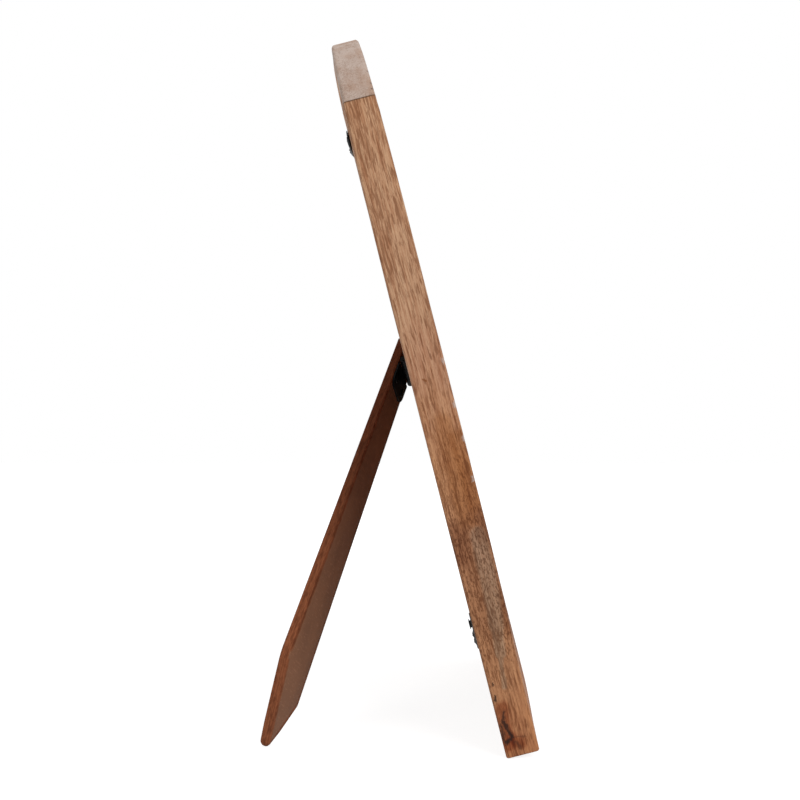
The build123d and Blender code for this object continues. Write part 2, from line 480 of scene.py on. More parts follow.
def ragged(spot, coarse, sway):
    """The same place, pushed about by noise of a coarseness per metre, so that a mark's edge is uneven."""
    push = noise_push(spot, (coarse, coarse, 0.6 * coarse), 4.0, 0.65)
    return vector("ADD", spot, vector("MULTIPLY", push, (0.0, sway, 1.4 * sway)))


def side_mark(place, start, end, width, soft, reach=0.0025):
    """A mark on the upright's outer side, from one depth and height to another, going in by reach."""
    ends = {"Start": (0.0, *start), "End": (0.0, *end)}
    mask = place_group(mark_group, Place=place, Width=width, Soft=soft, **ends)["Mask"]
    return times(mask, step(from_side, reach, 0.5 * reach))


def strongest(masks):
    best, *others = masks
    for mask in others:
        best = maths("MAXIMUM", best, mask)
    return best


stain_depth = 0.014
stain_spot = ragged(flat_spot, 380, 0.003)
heartwood = (0.82, 0.72, 0.6, 1)
dark_figure = (0.7, 0.62, 0.57, 1)
resin = (0.66, 0.45, 0.36, 1)
stains = [
    ((-0.0085, 0.096), (-0.0080, 0.134), 0.0016, 0.0045, heartwood),
    ((-0.0120, 0.128), (-0.0125, 0.100), 0.0010, 0.0035, heartwood),
    ((-0.0026, 0.081), (-0.0040, 0.092), 0.0006, 0.0050, dark_figure),
    ((-0.0128, 0.087), (-0.0132, 0.096), 0.0006, 0.0048, dark_figure),
    ((-0.0136, 0.062), (-0.0138, 0.048), 0.0001, 0.0030, dark_figure),
    ((-0.0030, 0.0200), (-0.0020, 0.0050), 0.0014, 0.0024, resin),
    ((-0.0044, 0.0072), (-0.0066, 0.0050), 0.0010, 0.0030, resin),
]
left_colour = left_grain["Colour"]
for start, end, width, soft, tint in stains:
    stain = side_mark(stain_spot, start, end, width, soft, stain_depth)
    left_colour = mixed(stain, left_colour, tint, "MULTIPLY")
mineral_spot = ragged(flat_spot, 150, 0.002)
mineral_runs = [
    ((-0.0110, 0.088), (-0.0102, 0.062), 0.0024, 0.0020),
    ((-0.0102, 0.062), (-0.0089, 0.052), 0.0021, 0.0016),
    ((-0.0089, 0.052), (-0.0079, 0.041), 0.0015, 0.0014),
    ((-0.0079, 0.041), (-0.0060, 0.028), 0.0004, 0.0012),
]
mineral = strongest(side_mark(mineral_spot, *run, stain_depth) for run in mineral_runs)
hairs = noise_value(flat_spot, (0, 2300, 160), 3.0, 0.6)
mineral = times(mineral, step(hairs, 0.1, 0.55))
left_colour = mixed(mineral, left_colour, (0.9, 1.14, 1.42, 1), "MULTIPLY")
split_spot = ragged(flat_spot, 800, 0.0026)
splits = [
    ((-0.0036, 0.0186), (-0.0024, 0.0146), 0.0001, 0.0009, 0.8),
    ((-0.0024, 0.0146), (-0.0033, 0.0110), 0.0003, 0.0010, 0.9),
    ((-0.0033, 0.0110), (-0.0042, 0.0080), 0.0003, 0.0010, 0.95),
    ((-0.0042, 0.0078), (-0.0011, 0.0064), 0.0003, 0.0009, 0.95),
    ((-0.0010, 0.0134), (-0.0008, 0.0070), 0.0002, 0.0009, 0.75),
    ((-0.0054, 0.0077), (-0.0092, 0.0069), 0.0000, 0.0005, 0.4),
    ((-0.0051, 0.0056), (-0.0062, 0.0032), 0.0001, 0.0012, 0.55),
    ((-0.0016, 0.0252), (-0.0015, 0.0232), 0.0001, 0.0006, 0.9),
    ((-0.0019, 0.0300), (-0.0018, 0.0297), 0.0001, 0.0006, 0.9),
]
dark = strongest(times(side_mark(split_spot, *line), strength) for *line, strength in splits)
left_colour = mixed(dark, left_colour, (0.022, 0.01, 0.007, 1))
knot = side_mark(split_spot, (-0.0052, 0.1526), (-0.0055, 0.1522), 0.0002, 0.0007)
left_colour = mixed(knot, left_colour, (0.17, 0.06, 0.022, 1))
chip_length = 0.0014
chip_places = ((-0.0143, 0.1570), (-0.0146, 0.1394), (-0.0146, 0.1256), (-0.0144, 0.1092))
chips = strongest(
    side_mark(split_spot, (depth, height), (depth, height + chip_length), 0.0001, 0.0008)
    for depth, height in chip_places
)
left_colour = mixed(times(chips, 0.5), left_colour, (0.4, 0.36, 0.34, 1))
glue_line = step(level["Z"], stile_length - 0.0006, stile_length - 0.0002)
left_colour = mixed(times(glue_line, 0.75), left_colour, (0.07, 0.035, 0.02, 1))
left_height = scaled(dark, -1.5, left_grain["Height"])
finish_timber(shader, left_colour, maths("MAXIMUM", left_grain["Pores"], dark), left_height)


def plain_timber(name, axis, offset, pale, deep, mottle):
    """The same hardwood without the marks of one length, cut from another spot."""
    made, tree, shader = new_material(name, Specular_IOR_Level=0.15)
    spot = along_grain(tree, axis, offset)
    share = step(noise_value(spot, (7, 30, 30)), 0.35, 0.68)
    brown = [tuple(0.72 * part for part in colour) for colour in (pale, deep)]
    tones = [mixed(share, (*light, 1), (*dim, 1)) for light, dim in zip((pale, deep), brown)]
    grain = place_group(grain_group, Along=spot, Pale=tones[0], Deep=tones[1], Mottle=mottle)
    finish_timber(shader, grain["Colour"], grain["Pores"], grain["Height"])
    return made


right_wood = plain_timber(
    "right_upright_wood", "z", (0.31, 0.17, 0.4), (0.47, 0.258, 0.148), (0.31, 0.145, 0.074), 0.3
)
for side, material in (("left", left_wood), ("right", right_wood)):
    settle(stiles[side], material, upright, "frame", "frame_wood", side + "_stile")

# Bottom rail: a wider length of the same wood between the stiles, with its grain running across.
# Its lower edges are eased like the stiles' ends, and its upper front edge like the opening.


def rail_ring(x, inset):
    front, lip, shelf = -frame_depth + inset, lip_depth - frame_depth, rail_height - rebate
    corners = [
        (front, 0.0, edge_ease),
        (-inset, 0.0, edge_ease),
        (-inset, shelf, joint_ease),
        (lip, shelf, joint_ease),
        (lip, rail_height - inset, joint_ease),
        (front, rail_height - inset, opening_ease),
    ]
    return [sanded((x, point.x, point.y)) for point in rounded_outline(corners, (9, 22, 5, 4, 4, 24))]


rail_count = round(2 * inner_half / ring_gap)
rail_end = inner_half - joint_ease
rail_places = [(-inner_half, joint_ease), (-rail_end, 0.0)]
rail_places += [(2 * inner_half * row / rail_count - inner_half, 0.0) for row in range(1, rail_count)]
rail_places += [(rail_end, 0.0), (inner_half, joint_ease)]
rail = skin("lower_rail", [rail_ring(x, inset) for x, inset in rail_places])
rail_wood = plain_timber(
    "lower_rail_wood", "x", (0.9, 0.2, 0.1), (0.45, 0.24, 0.132), (0.29, 0.13, 0.066), 0.35
)
settle(rail, rail_wood, upright, "frame", "frame_wood", "bottom_rail")

# Arched top: one piece bandsawn to a shallow curve and glued to the ends of the stiles, grain across.
# The curve cuts through the grain, so towards its ends the edge is end grain, dry, dusty and pale grey; the
# grey is partly painted sheen of light glancing off the curve.
arch_ease = 0.0016
arch_columns = 110
face_rows = 16
under_steps = 8


def arch_edge():
    """Depth and inset of the points across the curved edge, from the back to the front."""
    turns = quarter_turn(5)
    back = [(-arch_ease * (1 - math.cos(t)), arch_ease * (1 - math.sin(t))) for t in turns]
    middle = [(-arch_ease - (frame_depth - 2 * arch_ease) * step / 8, 0.0) for step in range(1, 8)]
    return back + middle + [(-frame_depth - depth, inset) for depth, inset in reversed(back)]


def arch_slice(share):
    """A closed loop round the arch at one place along its curve, from -1 at the left to 1 at the right."""
    loop = []
    for depth, inset in arch_edge():
        radius = arch_radius - inset
        angle = share * math.acos((stile_length - arch_centre) / radius)
        loop.append((radius * math.sin(angle), depth, arch_centre + radius * math.cos(angle)))
    x, _, top = loop[-1]
    top = max(top, stile_length)
    ease = joint_ease + (opening_ease - joint_ease) * smooth((inner_half - abs(x)) / ease_run)
    ease = min(ease, 0.4 * (top - stile_length))
    rows = [row / face_rows for row in range(1, face_rows)]
    turns = quarter_turn(4)
    front = [(x, -frame_depth, top + (stile_length + ease - top) * row) for row in rows]
    arcs = [(ease * (1 - math.cos(t)), ease * (1 - math.sin(t))) for t in turns]
    lip = [(x, -frame_depth + inward, stile_length + up) for inward, up in arcs]
    depths = [(frame_depth - ease) * part / under_steps for part in range(1, under_steps + 1)]
    under = [(x, -frame_depth + ease + depth, stile_length) for depth in depths]
    back = [(x, 0.0, stile_length + (top - stile_length) * row) for row in rows]
    return [sanded(point) for point in loop + front + lip + under + back]


arch_shares = [-1 + 2 * column / arch_columns for column in range(arch_columns + 1)]
arch = skin("arched_top", [arch_slice(share) for share in arch_shares])
carve(arch, pocket)

arch_wood, tree, shader = new_material("arched_top_wood", Specular_IOR_Level=0.15)
arch_spot = along_grain(tree, "x", (0.5, 0.6, 0.2))
arch_grain = place_group(
    grain_group, Along=arch_spot, Pale=(0.47, 0.27, 0.155, 1), Deep=(0.31, 0.15, 0.078, 1), Mottle=0.4
)
spot = object_place(tree)
level = axes(spot)
from_centre = length(vector("MULTIPLY", vector("SUBTRACT", spot, (0, 0, arch_centre)), (1, 0, 1)))
backward = step(level["Y"], -0.009, -0.003)
dust_and_sheen_reach = scaled(backward, 0.0018, from_centre)
ragged_edge_noise = noise_value(spot, (140, 90, 140), 4.0, 0.6)
dust_and_sheen_reach = scaled(ragged_edge_noise, 0.006, dust_and_sheen_reach)
on_curve = step(dust_and_sheen_reach, arch_radius - 0.001, arch_radius + 0.0016)
sideways = step(maths("ABSOLUTE", level["X"]), 0.012, 0.06)
end_grain = times(on_curve, sideways)
clouds = noise_value(arch_spot, (70, 110, 70), 4.0, 0.62)
# Pale grey over the end grain: partly dust on the dry end grain, partly painted sheen.
dust_and_sheen = mixed(step(clouds, 0.38, 0.66), (0.38, 0.305, 0.262, 1), (0.3, 0.205, 0.155, 1))
dust_and_sheen = mixed(times(arch_grain["Pores"], 0.35), dust_and_sheen, (0.2, 0.12, 0.08, 1))
arch_colour = mixed(times(end_grain, 0.92), arch_grain["Colour"], dust_and_sheen)
pit_spot = ragged(vector("MULTIPLY", spot, (0, 1, 1)), 800, 0.0016)
left_end = step(level["X"], -0.06, -0.065)
for height, share in ((0.2692, 0.8), (0.2724, 0.7), (0.2795, 0.6)):
    ends = {"Start": (0, -0.0138, height), "End": (0, -0.0146, height)}
    pit = place_group(mark_group, Place=pit_spot, Width=0.0001, Soft=0.0007, **ends)["Mask"]
    arch_colour = mixed(times(times(pit, left_end), share), arch_colour, (0.08, 0.045, 0.03, 1))
glue_line = step(level["Z"], stile_length + 0.0004, stile_length)
arch_colour = mixed(times(glue_line, 0.6), arch_colour, (0.09, 0.055, 0.038, 1))
finish_timber(shader, arch_colour, arch_grain["Pores"], arch_grain["Height"])
settle(arch, arch_wood, upright, "frame", "arch_wood", "top_arch")
bpy.data.objects.remove(pocket)

# Dowels: plain birch pins glued into the joints, out of sight inside the wood.
# They keep their turned shape and get a pale, close-grained finish.
dowel_wood, tree, shader = new_material("dowel_birch", Roughness=0.62, Specular_IOR_Level=0.15)
lines = noise_value(object_place(tree), (900, 900, 140), 3.0)
birch = mixed(lines, (0.72, 0.55, 0.36, 1), (0.56, 0.4, 0.24, 1))
feed(shader, Base_Color=birch)


def dress(name, material):
    """Gives its material to a piece that keeps the shape it came with."""
    piece = frame["nodes"][name]
    piece.data.materials.clear()
    piece.data.materials.append(material)
    return piece


for name in ("left_rail_dowels", "right_rail_dowels", "left_arch_dowels", "right_arch_dowels"):
    dress(name, dowel_wood)

# Glass: a 2 mm pane of float glass, cut to the rebate, faintly green.
# Lamps shine through it on to the print.
pane_glass, tree, shader = new_material(
    "float_glass", Base_Color=(0.95, 0.985, 0.97, 1), Roughness=0.0, IOR=1.5, Transmission_Weight=1.0
)
path = add_node("LightPath", {}, tree).outputs
clear = add_node("BsdfTransparent", {"Color": (0.93, 0.96, 0.95, 1)}, tree).outputs[0]
lit = maths("MAXIMUM", path["Is Shadow Ray"], path["Is Diffuse Ray"])
glazing = add_node("MixShader", {0: lit, 1: shader.outputs[0], 2: clear}).outputs[0]
feed(tree.nodes["Material Output"], Surface=glazing)
dress("glass_pane", pane_glass)

# Print: a satin photograph with a pale border, of misty hills one behind another under a plain sky.
# It lies flat against the glass and shows only through the opening.


def laid(spot, place):
    """The spot as seen by a piece that lies at the place."""
    inputs = {"Vector": spot, "Location": place.to_translation(), "Rotation": place.to_euler()}
    return add_node("Mapping", inputs, vector_type="TEXTURE").outputs[0]


print_paper, tree, shader = new_material("photo_print_satin", Roughness=0.42, Specular_IOR_Level=0.4)
level = axes(laid(object_place(tree), upright))
rise = maths("DIVIDE", maths("SUBTRACT", level["Z"], rail_height), stile_length - rail_height)
picture = colour_run(rise, [
    (0.3, (0.83, 0.68, 0.52)),
    (0.55, (0.72, 0.71, 0.68)),
    (1.0, (0.36, 0.5, 0.62)),
])
hills = [
    (0.60, 0.10, 16, (0.52, 0.57, 0.6)),
    (0.49, 0.13, 20, (0.35, 0.43, 0.46)),
    (0.37, 0.15, 26, (0.19, 0.28, 0.28)),
    (0.22, 0.16, 34, (0.075, 0.13, 0.11)),
]
for number, (top, swing, bumps, colour) in enumerate(hills):
    ridge_place = add_node("CombineXYZ", {0: level["X"], 1: 3.7 * number}).outputs[0]
    ridge = noise_value(ridge_place, (bumps, 1, 1), 4.0, 0.52)
    line = scaled(ridge, swing, top - swing / 2)
    under = maths("SUBTRACT", line, rise)
    below = step(under, -0.002, 0.003)
    mist = step(under, 0.02, 0.2)
    hill = mixed(times(mist, 0.45), (*colour, 1), (0.74, 0.7, 0.63, 1))
    picture = mixed(below, picture, hill)
border = 0.006
border_blur = 0.0003
picture_side = inner_half - border
inside = step(maths("ABSOLUTE", level["X"]), picture_side, picture_side - border_blur)
middle = (rail_height + stile_length) / 2
picture_half = stile_length - middle - border
from_middle = maths("ABSOLUTE", maths("SUBTRACT", level["Z"], middle))
inside_height = step(from_middle, picture_half, picture_half - border_blur)
picture = mixed(times(inside, inside_height), (0.82, 0.81, 0.78, 1), picture)
feed(shader, Base_Color=picture)
print_gap = 0.00004
air_gap = dress("photo_print", print_paper).modifiers.new("air between glass and paper", "DISPLACE")
air_gap.mid_level = 0.0
air_gap.strength = -print_gap

# Filler card: grey board that presses the print against the glass, shut in by the backing board.
# It has the speckle of recycled pulp.
grey_card, tree, shader = new_material("pulp_card", Roughness=0.9, Specular_IOR_Level=0.2)
specks = noise_value(object_place(tree), (900, 900, 900), 4.0, 0.7)
pulp = mixed(step(specks, 0.35, 0.65), (0.5, 0.47, 0.42, 1), (0.4, 0.37, 0.33, 1))
feed(shader, Base_Color=pulp)
dress("filler_card", grey_card)

# Fibreboard: brown wood fibre pressed under heat. The faces come out smooth and faintly mottled,
# and a sawn edge is redder, with torn fibres in layers.
tones = {"Face": (0.185, 0.083, 0.043, 1), "Sawn": (0.2, 0.066, 0.029, 1), "Sawn Share": 0.0}
fibre_group, given, result = new_group(
    "pressed fibre", {"Place": (0, 0, 0), **tones}, "Colour", "Roughness", "Height"
)
place = given["Place"]
clouds = noise_value(place, (45, 45, 30), 4.0, 0.6)
specks = noise_value(place, (1500, 1500, 900), 3.0, 0.7)
hairs = noise_value(place, (300, 900, 1400), 3.0, 0.6)
tufts = noise_value(place, (420, 1100, 260), 4.0, 0.7)
layers = noise_value(place, (60, 2600, 60), 2.0)
dim_face = mixed(1.0, given["Face"], (0.8, 0.79, 0.8, 1), "MULTIPLY")
face = mixed(step(clouds, 0.36, 0.68), given["Face"], dim_face)
face = mixed(times(step(hairs, 0.55, 0.68), 0.35), face, (0.3, 0.15, 0.085, 1))
face = mixed(times(step(specks, 0.56, 0.72), 0.35), face, (0.09, 0.042, 0.024, 1))
dim_sawn = mixed(1.0, given["Sawn"], (0.5, 0.46, 0.45, 1), "MULTIPLY")
torn = scaled(layers, 0.35, times(tufts, 0.75))
sawn = mixed(step(torn, 0.42, 0.7), given["Sawn"], dim_sawn)
board = mixed(given["Sawn Share"], face, sawn)
rough = scaled(given["Sawn Share"], 0.25, 0.65)
torn_height = times(times(torn, -2.5), given["Sawn Share"])
surface = scaled(specks, 0.3, torn_height)
feed(result, Colour=board, Roughness=rough, Height=surface)


def fibreboard(name, edge_share, place, painted_light_length=0.0):
    """A fibreboard finish; edge_share makes the shares of torn fibre, sawn edge and sheltered face.

    The place tells how the board lies. Over painted_light_length below it, painted shade darkens the sawn
    edge upwards, and painted light makes the sheltered face paler and redder.
    """
    made, tree, shader = new_material(name, Specular_IOR_Level=0.1)
    spot = laid(object_place(tree), place)
    torn, sawn, sheltered = edge_share(tree, spot)
    board = place_group(fibre_group, Place=spot, Sawn_Share=torn)
    colour = board["Colour"]
    if painted_light_length:
        # Painted light and shade towards the hinge, where the frame shades the leg: the sheltered face is
        # painted paler, the sawn edge darker.
        painted_light_rise = step(axes(spot)["Z"], -painted_light_length, 0.0)
        colour = mixed(times(painted_light_rise, sheltered), colour, (1.6, 1.4, 1.36, 1), "MULTIPLY")
        colour = mixed(times(painted_light_rise, sawn), colour, (0.6, 0.5, 0.47, 1), "MULTIPLY")
    feed(shader, Base_Color=colour, Roughness=board["Roughness"])
    bump(shader, board["Height"], 0.4, 0.00025)
    return made


# Backing board: a 3 mm sheet of fibreboard that closes the rebate and carries the hinge of the leg.
# It drops in from the back and is held by the turn buttons.
dress("backing_board", fibreboard("backing_fibreboard", lambda tree, spot: (0.0, 0.0, 0.0), upright))

# Hinge: a butt hinge of black painted sheet steel, riveted to the board and to the leg, with a thin pin.
# It is turned in the plane of the back, so that the leg swings out towards a lower corner.
black = {"Place": (0, 0, 0), "Paint": (0.007, 0.006, 0.006, 1)}
paint_group, given, result = new_group("black paint", black, "Colour", "Roughness", "Height")
place = given["Place"]
orange_peel = noise_value(place, (1600, 1600, 1600))
scuff = step(noise_value(place, (420, 420, 420), 4.0, 0.7), 0.56, 0.74)
paint = mixed(times(scuff, 0.5), given["Paint"], (0.03, 0.027, 0.025, 1))
feed(result, Colour=paint, Roughness=scaled(scuff, 0.2, 0.5), Height=orange_peel)


def black_metal(name, colour, **plain):
    made, tree, shader = new_material(name, **plain)
    coat = place_group(paint_group, Place=object_place(tree), Paint=(*colour, 1))
    feed(shader, Base_Color=coat["Colour"], Roughness=coat["Roughness"])
    bump(shader, coat["Height"], 0.12, 0.0001)
    return made


sheet_edge = 0.00012
hinge_paint = black_metal("hinge_paint", (0.005, 0.0045, 0.0045), Specular_IOR_Level=0.08)
for name in ("hinge_board_leaf", "hinge_pin"):
    softened = dress(name, hinge_paint).modifiers.new("softened edges", "BEVEL")
    softened.width = sheet_edge
    softened.segments = 2
    softened.limit_method = "ANGLE"

# Leg leaf: a plate with rounded corners on the inner face of the leg, rolled round the pin in the middle.
# It turns between the two knuckles of the other leaf.
leg_turn = math.acos(joints["leg_hinge"]["axis"][0])
leg_opening = math.radians(-joints["leg_hinge"]["range_deg"][0])
hinge_place = Matrix.Translation(joints["leg_hinge"]["pos_m"]) @ upright.to_3x3().to_4x4()
hinge_place = hinge_place @ Matrix.Rotation(leg_turn, 4, "Y")
leg_place = hinge_place @ Matrix.Rotation(leg_opening, 4, "X")
leaf_thickness = 0.0009
leaf_half = 0.011
leaf_length = 0.0134
leaf_corner = 0.0045
leaf_top = -0.0023
leg_inner = 0.002
leaf_inner = leg_inner - leaf_thickness
knuckle_radius = 0.0017
knuckle_half = 0.0043
pin_hole = 0.00086
neck_lap = 0.0004


def leaf_ring(depth, inset):
    side, end = leaf_half - inset, leaf_length - inset
    corners = [
        (-side, leaf_top, sheet_edge),
        (-side, -end, leaf_corner),
        (side, -end, leaf_corner),
        (side, leaf_top, sheet_edge),
    ]
    return [Vector((point.x, depth, point.y)) for point in rounded_outline(corners, (4, 8, 4, 8))]


def full_turn(steps, start=0.0):
    return [2 * math.pi * (part + start) / steps for part in range(steps)]


def knuckle_ring(x, radius):
    return [Vector((x, radius * math.cos(a), radius * math.sin(a))) for a in full_turn(40)]


def joined(name, pieces):
    """One piece from several."""
    work = bmesh.new()
    for piece in pieces:
        work.from_mesh(piece.data)
        bpy.data.objects.remove(piece)
    mesh = bpy.data.meshes.new(name)
    work.to_mesh(mesh)
    work.free()
    return tidy_piece(name, mesh)


leaf_depths = ((leaf_inner, sheet_edge), (leaf_inner + sheet_edge, 0.0), (leg_inner, 0.0))
leaf_plate = skin("leaf_plate", [leaf_ring(depth, inset) for depth, inset in leaf_depths])
barrel_ends = [(-knuckle_half, sheet_edge), (sheet_edge - knuckle_half, 0.0)]
barrel_ends += [(-x, inset) for x, inset in reversed(barrel_ends)]
barrel = skin("barrel", [knuckle_ring(x, knuckle_radius - inset) for x, inset in barrel_ends])
bore = skin("bore", [knuckle_ring(x, pin_hole) for x in (-2 * knuckle_half, 2 * knuckle_half)])
carve(barrel, bore)
bpy.data.objects.remove(bore)
neck_corners = [(side * knuckle_half, depth, sheet_edge) for side, depth in
                ((-1, leaf_inner), (1, leaf_inner), (1, leg_inner), (-1, leg_inner))]
neck_outline = rounded_outline(neck_corners, (6, 2, 6, 2))
neck = skin("neck", [[Vector((p.x, p.y, z)) for p in neck_outline] for z in (leaf_top - neck_lap, 0.0)])
leg_leaf = joined("rolled_leg_leaf", (leaf_plate, barrel, neck))
settle(leg_leaf, hinge_paint, leg_place, "leg", "black_steel", "hinge_leg_leaf")

# Rivets: tubular steel rivets with low domed heads, two through each hinge leaf.
# Those of the leg are headed on both sides, those of the board end flush inside it.
rivet_radius = 0.0012
rivet_head = 0.0022
rivet_dome = 0.0007
rivet_half_gap = 0.0065
board_back = -0.0012
pin_standoff = 0.0026
leg_thickness = 0.004
board_rivet_drop = 0.011
leg_rivet_drop = 0.0085
rivet_bite = 0.003
centre_hole = 0.0002


def turned_rings(profile, centre, steps=28):
    """Rings of points round an axis along y, through a profile of radius and height."""
    angles = full_turn(steps)
    return [[centre + Vector((r * math.cos(a), y, r * math.sin(a))) for a in angles] for r, y in profile]


def dome(base, out):
    """Profile of a rivet head that sits on base and swells outwards, from its rim to near its middle."""
    turns = quarter_turn(6)[:-1]
    rounded = [(rivet_head * math.cos(t) ** 0.8, base + out * math.sin(t)) for t in turns]
    return rounded + [(centre_hole, base + out)]


leaf_seat = board_back - pin_standoff + leaf_thickness
board_end = board_back - pin_standoff - rivet_bite
leg_outer = leg_inner + leg_thickness
board_profile = [(centre_hole, board_end), (rivet_radius, board_end), (rivet_radius, leaf_seat)]
board_profile += dome(leaf_seat, rivet_dome)
leg_profile = dome(leaf_inner, -rivet_dome)[::-1] + [(rivet_radius, leaf_inner), (rivet_radius, leg_outer)]
leg_profile += dome(leg_outer, rivet_dome)
for node, profile, drop, place, body in (
    ("board_rivets", board_profile, board_rivet_drop, hinge_place, "frame"),
    ("leg_rivets", leg_profile, leg_rivet_drop, leg_place, "leg"),
):
    centres = [Vector((side * rivet_half_gap, 0, -drop)) for side in (-1, 1)]
    pair = [skin(node, turned_rings(profile, centre)) for centre in centres]
    rivets = joined(node.replace("_", "_hinge_"), pair)
    settle(rivets, hinge_paint, place, body, "black_steel", node)

# Easel leg: a tapered board of 4 mm fibreboard, sawn to a point that stands on the table.
# Its sawn edges are rough and a little worn round, and its heel stops against the backing board.
to_leg = leg_place.inverted()
corners = [to_leg @ vertex.co for vertex in frame["nodes"]["easel_leg"].data.vertices]
nearest_face = min(corner.y for corner in corners)
rim = [Vector((c.x, c.z)) for c in corners if c.y - nearest_face < 1e-5]
centroid = sum(rim, Vector((0, 0))) / len(rim)
rim = [p for p in rim if (p - Vector((0, -leg_rivet_drop))).length > 2 * rivet_half_gap or p.y > 0]
rim.sort(key=lambda p: math.atan2(p.y - centroid.y, p.x - centroid.x))
rim = [here for before, here in zip(rim[-1:] + rim[:-1], rim) if (here - before).length > 1e-6]
rim_step = 0.0009
outline = []
for here, following in zip(rim, rim[1:] + rim[:1]):
    parts = max(1, round((following - here).length / rim_step))
    outline += [here.lerp(following, part / parts) for part in range(parts)]


def outward(index):
    """The direction out of the leg's outline at one of its points, evened over its neighbours."""
    before, after = outline[index - 3], outline[(index + 3) % len(outline)]
    run = (after - before).normalized()
    return Vector((run.y, -run.x))


edge_round = 0.0006
tip_round = 0.0018
tip_reach = 0.011
edge_tear = 0.00016
face_margin = 0.0004
torn_width = 0.0014
torn_fade = 0.0016
straight_run = 0.02
# Over this length below the hinge, painted shade darkens the leg's sawn edge and painted light brightens
# its sheltered face.
painted_light_length = 0.15
turns = quarter_turn(5)
half = leg_thickness / 2
foot = min(outline, key=lambda point: (leg_place @ Vector((point.x, leg_inner, point.y))).z)
over_edge = [(-1, t, 0.0) for t in turns] + [(0, math.pi / 2, 0.0)] + [(1, t, 0.0) for t in reversed(turns)]
leg_rings = []
for side, turn, margin in [(-1, 0.0, face_margin)] + over_edge + [(1, 0.0, face_margin)]:
    ring = []
    for index, point in enumerate(outline):
        worn = 1 - smooth((point - foot).length / tip_reach)
        radius = edge_round + (tip_round - edge_round) * worn
        depth = half + side * (half - radius * (1 - math.cos(turn)))
        tuft = noise.noise(Vector((point.x * 520, depth * 900, point.y * 300)))
        tear = edge_tear * (tuft - 0.3) * smooth(min(depth, leg_thickness - depth) / edge_round)
        moved = point + outward(index) * (tear - margin - radius * (1 - math.sin(turn)))
        ring.append(leg_place @ Vector((moved.x, leg_inner + depth, moved.y)))
    leg_rings.append(ring)
leg = skin("easel_leg_board", leg_rings, sharp=50)


def leg_edge(tree, spot):
    """Shares of torn fibre, which laps on to the faces as a ragged band, of sawn edge and of inner face."""
    facing = dot(add_node("TexCoord", {}, tree).outputs["Normal"], leg_place.to_3x3().col[1])
    sawn = step(maths("ABSOLUTE", facing), 0.9, 0.5)
    torn = sawn
    flat = vector("MULTIPLY", spot, (1, 0, 1))
    push = noise_push(flat, (420, 0, 260), 3.0, 0.65)
    flat = vector("ADD", flat, vector("MULTIPLY", push, (0.003, 0, 0.003)))
    for here, following in zip(rim, rim[1:] + rim[:1]):
        if (following - here).length > straight_run:
            ends = {"Start": (here.x, 0, here.y), "End": (following.x, 0, following.y)}
            band = place_group(mark_group, Place=flat, Width=torn_width, Soft=torn_fade, **ends)["Mask"]
            torn = maths("MAXIMUM", torn, band)
    return torn, sawn, step(facing, -0.5, -0.9)


leg_board = fibreboard("leg_fibreboard_finish", leg_edge, leg_place, painted_light_length)
settle(leg, leg_board, Matrix.Identity(4), "leg", "leg_fibreboard", "easel_leg")

# Turn buttons: small plates of black coated steel, flat below, arched across and ribbed near the tip.
# Each turns on a screw in the back of a stile; three hold the board and one hangs down.
button_half = 0.0045
button_arm = 0.0104
button_gauge = 0.00036
button_play = 0.00006
button_arch = 0.0003
button_lift = 0.0003
hole_play = 0.00008
rib_places = (0.0043, 0.007)
rib_height = 0.00075
rib_width = 0.0007
rib_end = 0.004
rib_fade = 0.0015
screw_radius = 0.0015
button_coat = black_metal("button_coat", (0.008, 0.007, 0.007), Specular_IOR_Level=0.25)


def slot_outline(steps=72):
    """Points round the plate, half a circle about the screw and another half about the tip."""
    tip = button_arm - button_half
    points = []
    for angle in full_turn(steps, 0.5):
        middle = tip if math.cos(angle) > 0 else 0.0
        points.append(Vector((middle + button_half * math.cos(angle), button_half * math.sin(angle))))
    return points


def button_top(x, z):
    """Height of the button's upper side over the wood."""
    arch = button_arch * (1 - (z / button_half) ** 2)
    ribs = sum(math.exp(-((x - place) / rib_width) ** 2) for place in rib_places)
    return button_gauge + arch + rib_height * ribs * smooth((rib_end - abs(z)) / rib_fade)


def button_plate(name):
    """The pressed plate: rings from the hole to the rim on top, and back underneath."""
    rim = slot_outline()
    hole_radius = screw_radius + hole_play
    hole = [Vector((math.cos(a), math.sin(a))) * hole_radius for a in full_turn(len(rim), 0.5)]
    shares = [0.0, 0.03, 0.12, 0.25, 0.4, 0.55, 0.7, 0.82, 0.92, 0.98, 1.0]
    rings = []
    for share, over in [(s, 1) for s in shares] + [(s, 0) for s in reversed(shares)]:
        edge = sheet_edge * max(smooth((share - 0.94) / 0.06), smooth((0.05 - share) / 0.05))
        ring = []
        for inner, outer in zip(hole, rim):
            flat = inner.lerp(outer, share)
            lift = button_top(flat.x, flat.y) - edge if over else button_play + edge
            ring.append(Vector((flat.x, lift, flat.y)))
        rings.append(ring)
    return skin(name, rings, 50, hollow=True)


button_turns = {"upper_left": 0, "upper_right": 180, "lower_left": 90, "lower_right": 180}

